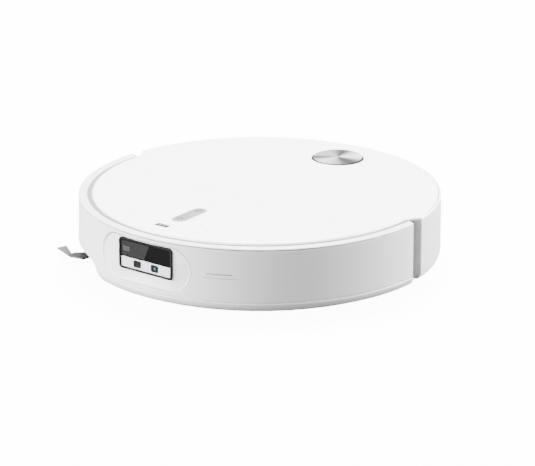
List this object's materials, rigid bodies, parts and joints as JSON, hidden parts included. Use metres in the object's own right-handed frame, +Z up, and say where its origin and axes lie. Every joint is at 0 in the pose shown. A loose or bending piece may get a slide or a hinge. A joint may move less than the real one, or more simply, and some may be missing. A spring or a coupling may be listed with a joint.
{
  "type": "robot vacuum cleaner",
  "caption": "Flat round robot vacuum with a sprung front bumper, window for front sensors, rising scanner turret, side brush, roller brush and lift-out dustbin.",
  "frame": {"origin": "on the floor under the centre of the round body", "axes": "-Y is the front, the way it drives; +X is its left side; +Z is up"},
  "size_m": [0.3555, 0.3505, 0.081],
  "materials": {
    "white_satin": "satin white lacquered plastic",
    "white_matte": "fine matte white plastic",
    "grey_plastic": "moulded grey plastic",
    "black_plastic": "moulded black plastic",
    "black_glass": "dark polished filter window",
    "silver_panel": "pale silver plastic",
    "lens_glass": "polished lens",
    "brushed_metal": "spun with a radial sheen",
    "contact_metal": "plated spring contact",
    "rubber": "matte rubber",
    "brush_grey": "flexible grey paddle",
    "board": "coated circuit board",
    "filter": "pleated paper",
    "button_grey": "translucent grey",
    "battery_wrap": "shrink wrap",
    "motor_steel": "drawn steel can",
    "gear_nylon": "natural nylon",
    "smoked": "smoked translucent plastic"
  },
  "bodies": {
    "chassis": {"front_deck": "white_satin", "upper_frame": "grey_plastic", "button_bezel": "grey_plastic", "circuit_board": "board", "side_shell": "white_matte", "base_tray": "black_plastic", "battery_door": "black_plastic", "battery_pack": "battery_wrap", "camera_module": "black_plastic", "charge_contact_left": "contact_metal", "charge_contact_right": "contact_metal", "bump_sensor_left": "black_plastic", "bump_sensor_right": "black_plastic", "cliff_sensor_front_left": "black_glass", "cliff_sensor_front_right": "black_glass", "cliff_sensor_side_left": "black_glass", "cliff_sensor_side_right": "black_glass", "brush_housing": "black_plastic", "brush_guard": "grey_plastic", "brush_motor": "motor_steel", "gear_cover": "grey_plastic", "fan_housing": "black_plastic", "lidar_guide": "grey_plastic", "left_wheel_housing": "grey_plastic", "right_wheel_housing": "grey_plastic", "side_brush_motor": "grey_plastic"},
    "rear_lid": {"rear_cover": "white_satin"},
    "bin": {"dustbin": "smoked", "dustbin_lid": "grey_plastic", "dust_filter": "filter"},
    "power_key": {"power_button": "button_grey"},
    "dock_key": {"dock_button": "button_grey"},
    "bumper": {"bumper_skin": "white_matte", "bumper_rim": "white_satin", "bumper_lip": "grey_plastic", "bumper_lip_end": "grey_plastic", "sensor_bezel": "white_matte", "window_frame": "black_plastic", "window_glass": "black_glass", "window_panel": "silver_panel", "lens_right": "lens_glass", "lens_left": "lens_glass", "wall_sensor_window": "black_glass"},
    "rollers": {"roller_left": "rubber", "roller_right": "rubber"},
    "idler": {"idler_gear": "gear_nylon"},
    "pinion": {"motor_pinion": "gear_nylon"},
    "impeller": {"fan_impeller": "white_matte"},
    "turret": {"lidar_tower": "black_plastic", "lidar_cap": "brushed_metal"},
    "scanner": {"lidar_rotor": "black_plastic"},
    "left_suspension": {"left_drive_unit": "black_plastic"},
    "left_wheel": {"left_tyre": "rubber", "left_hub": "grey_plastic"},
    "right_suspension": {"right_drive_unit": "black_plastic"},
    "right_wheel": {"right_tyre": "rubber", "right_hub": "grey_plastic"},
    "caster": {"caster_fork": "black_plastic"},
    "caster_roller": {"caster_wheel": "rubber"},
    "sweeper": {"side_brush": "brush_grey"}
  },
  "joints": [
    {"name": "bumper_press", "type": "slide", "parent": "chassis", "child": "bumper", "axis": [0, 1, 0], "range_m": [0, 0.003], "stiffness_N_per_m": 400},
    {"name": "lid_lift", "type": "slide", "parent": "chassis", "child": "rear_lid", "axis": [0, 0, 1], "range_m": [0, 0.09]},
    {"name": "bin_lift", "type": "slide", "parent": "chassis", "child": "bin", "axis": [0, 0, 1], "range_m": [0, 0.045]},
    {"name": "power_press", "type": "slide", "parent": "chassis", "child": "power_key", "axis": [0, 0, -1], "range_m": [0, 0.001], "stiffness_N_per_m": 400},
    {"name": "dock_press", "type": "slide", "parent": "chassis", "child": "dock_key", "axis": [0, 0, -1], "range_m": [0, 0.001], "stiffness_N_per_m": 400},
    {"name": "turret_raise", "type": "slide", "parent": "chassis", "child": "turret", "axis": [0, 0, 1], "range_m": [0, 0.022]},
    {"name": "scanner_spin", "type": "hinge", "parent": "turret", "child": "scanner", "pos_m": [0, 0.1235, 0.06], "axis": [0, 0, 1], "continuous": true},
    {"name": "roller_spin", "type": "hinge", "parent": "chassis", "child": "rollers", "pos_m": [0, -0.048, 0.025], "axis": [1, 0, 0], "continuous": true},
    {"name": "idler_spin", "type": "hinge", "parent": "chassis", "child": "idler", "pos_m": [0.094, -0.06755, 0.03268], "axis": [1, 0, 0], "continuous": true},
    {"name": "pinion_spin", "type": "hinge", "parent": "chassis", "child": "pinion", "pos_m": [0.094, -0.0865, 0.034], "axis": [1, 0, 0], "continuous": true},
    {"name": "fan_spin", "type": "hinge", "parent": "chassis", "child": "impeller", "pos_m": [0.084, 0.104, 0.045], "axis": [0, 0, 1], "continuous": true},
    {"name": "sweeper_spin", "type": "hinge", "parent": "chassis", "child": "sweeper", "pos_m": [-0.105, -0.105, 0.01], "axis": [0, 0, 1], "continuous": true},
    {"name": "caster_swivel", "type": "hinge", "parent": "chassis", "child": "caster", "pos_m": [0, -0.122, 0.03], "axis": [0, 0, 1], "continuous": true},
    {"name": "caster_roll", "type": "hinge", "parent": "caster", "child": "caster_roller", "pos_m": [0, -0.117, 0.013], "axis": [1, 0, 0], "continuous": true},
    {"name": "left_wheel_drop", "type": "hinge", "parent": "chassis", "child": "left_suspension", "pos_m": [0.095, 0.044, 0.05], "axis": [1, 0, 0], "range_deg": [0, 20], "stiffness_Nm_per_rad": 0.3, "springref_deg": 40.11},
    {"name": "left_wheel_spin", "type": "hinge", "parent": "left_suspension", "child": "left_wheel", "pos_m": [0.114, 0.006, 0.034], "axis": [1, 0, 0], "continuous": true},
    {"name": "right_wheel_drop", "type": "hinge", "parent": "chassis", "child": "right_suspension", "pos_m": [-0.095, 0.044, 0.05], "axis": [1, 0, 0], "range_deg": [0, 20], "stiffness_Nm_per_rad": 0.3, "springref_deg": 40.11},
    {"name": "right_wheel_spin", "type": "hinge", "parent": "right_suspension", "child": "right_wheel", "pos_m": [-0.114, 0.006, 0.034], "axis": [1, 0, 0], "continuous": true}
  ],
  "couplings": [
    {"joint": "bin_lift", "follows": "lid_lift", "ratio": 0.5},
    {"joint": "idler_spin", "follows": "roller_spin", "ratio": -0.61538},
    {"joint": "pinion_spin", "follows": "roller_spin", "ratio": 1.3333}
  ]
}
